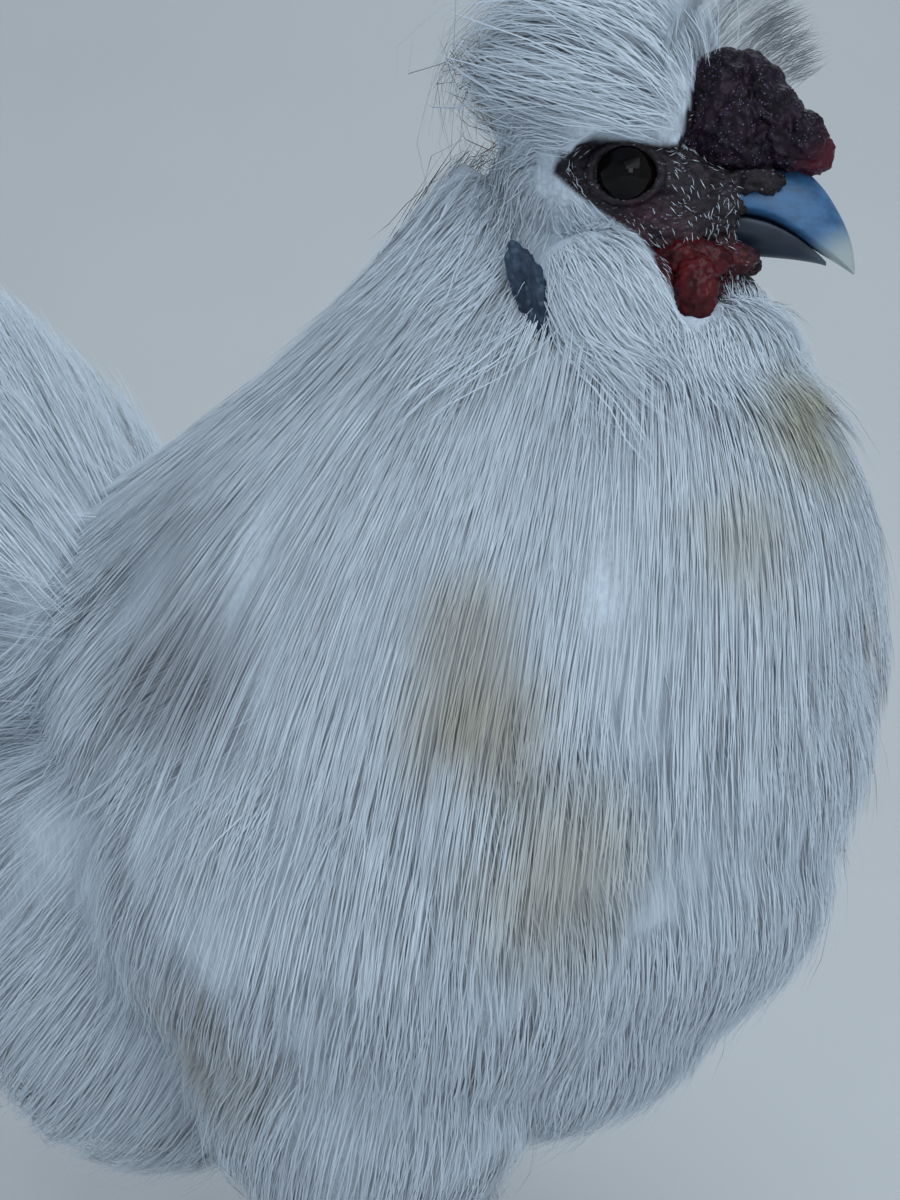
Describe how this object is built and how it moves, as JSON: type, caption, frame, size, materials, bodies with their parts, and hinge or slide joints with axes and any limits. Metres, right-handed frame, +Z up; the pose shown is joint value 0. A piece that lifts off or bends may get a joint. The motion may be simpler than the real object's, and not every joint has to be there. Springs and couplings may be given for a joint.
{
  "type": "silkie chicken",
  "caption": "Standing bantam silkie cockerel with crest, beard, walnut comb, loose white plumage and feathered feet, as a still life-size model.",
  "frame": {"origin": "on the floor, below the centre of the bounding box, with the feet's flats at z = 0", "axes": "+X the way the bird's body faces, +Y its left side, +Z up"},
  "size_m": [0.2286, 0.1548, 0.2721],
  "materials": {
    "face_skin": "matte purple-black skin",
    "comb_skin": "satin mulberry skin with fine bumps",
    "wattle_skin": "satin dark red skin",
    "earlobe_skin": "satin blue-grey skin",
    "eye": "wet gloss, near-black brown",
    "beak_horn": "satin slate horn, paler at the tip",
    "claw_horn": "satin slate horn",
    "leg_skin": "scaled slate-blue skin with white plumage",
    "white_plumage": "matt, silky white plumage"
  },
  "bodies": {
    "root": {"abdomen": "white_plumage", "back": "white_plumage", "beak_lower": "beak_horn", "beak_upper": "beak_horn", "beard": "white_plumage", "breast": "white_plumage", "claw_hind_left": "claw_horn", "claw_hind_right": "claw_horn", "claw_inner_left": "claw_horn", "claw_inner_right": "claw_horn", "claw_middle_left": "claw_horn", "claw_middle_right": "claw_horn", "claw_outer_left": "claw_horn", "claw_outer_right": "claw_horn", "claw_raised_left": "claw_horn", "claw_raised_right": "claw_horn", "comb": "comb_skin", "crest": "white_plumage", "earlobe_left": "earlobe_skin", "earlobe_right": "earlobe_skin", "eye_left": "eye", "eye_right": "eye", "foot_left": "leg_skin", "foot_right": "leg_skin", "head": "face_skin", "muff_left": "white_plumage", "muff_right": "white_plumage", "neck": "white_plumage", "shank_left": "leg_skin", "shank_right": "leg_skin", "tail": "white_plumage", "thigh_left": "white_plumage", "thigh_right": "white_plumage", "wattle_left": "wattle_skin", "wattle_right": "wattle_skin", "wing_left": "white_plumage", "wing_right": "white_plumage"}
  },
  "joints": []
}
